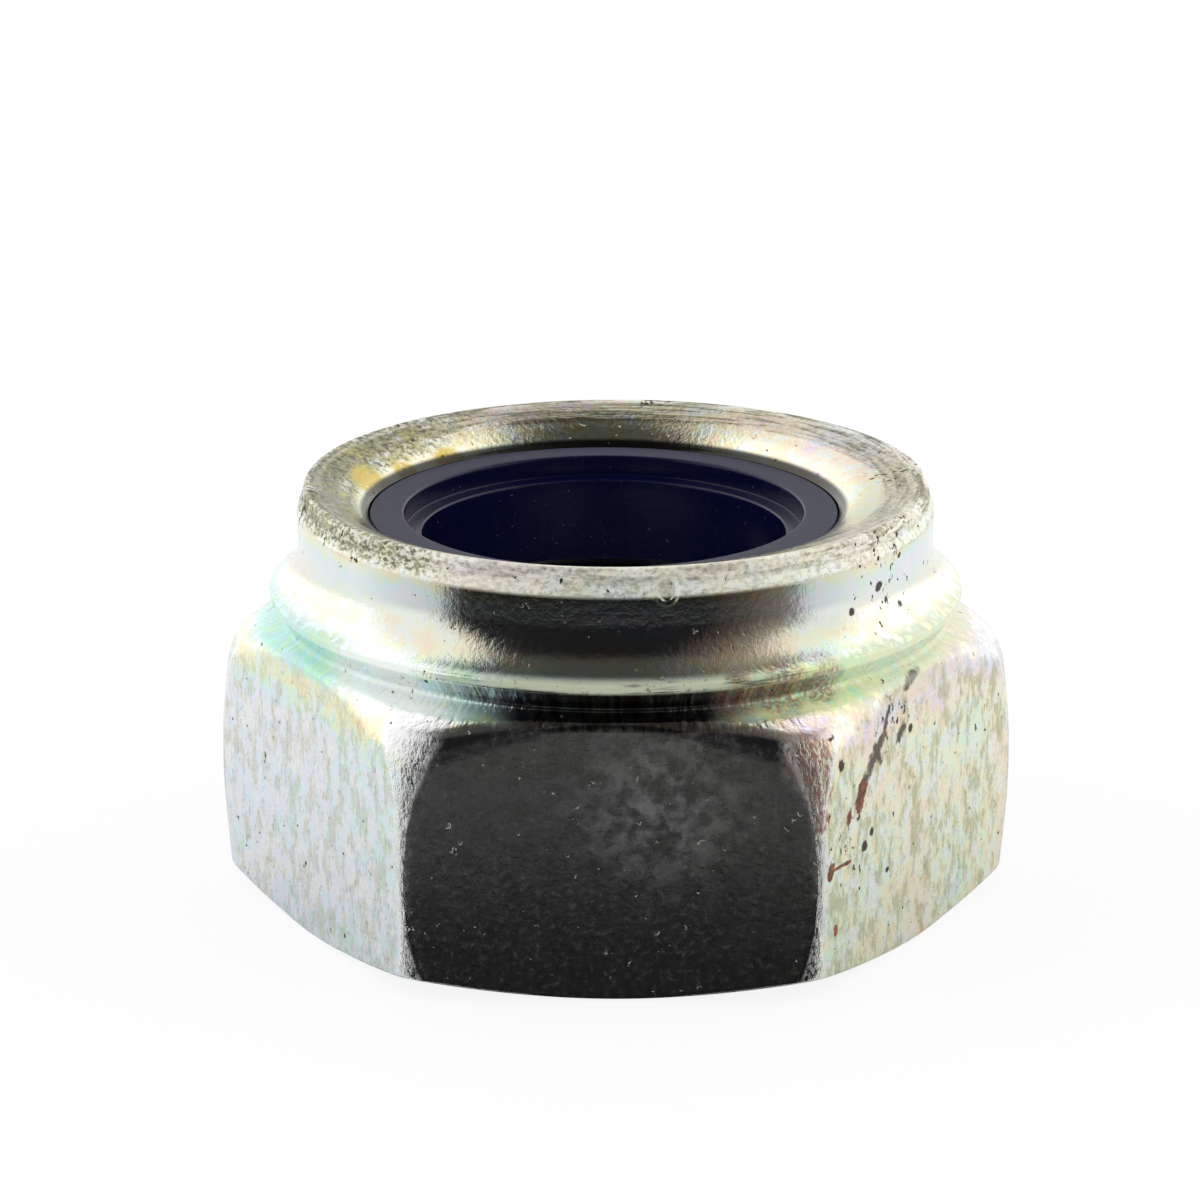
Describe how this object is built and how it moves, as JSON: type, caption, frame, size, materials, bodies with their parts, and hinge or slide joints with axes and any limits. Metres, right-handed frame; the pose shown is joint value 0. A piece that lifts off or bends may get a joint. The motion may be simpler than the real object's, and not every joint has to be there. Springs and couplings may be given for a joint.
{
  "type": "nylon insert lock nut",
  "caption": "Hexagon lock nut with a rounded collar whose rolled lip holds a stepped nylon ring above the threaded bore.",
  "frame": {"origin": "centre of the bearing face, on the thread's axis", "axes": "+Z along the thread from the bearing face to the nylon end, -Y square to one of the flats"},
  "size_m": [0.015, 0.013, 0.0079],
  "materials": {
    "plated_steel": "zinc plate with a pale iridescent passivation, streaked and lightly pitted",
    "nylon": "dark navy moulded nylon, glossy in the bore and dull on its top"
  },
  "bodies": {
    "root": {"nut_body": "plated_steel", "nylon_insert": "nylon"}
  },
  "joints": []
}
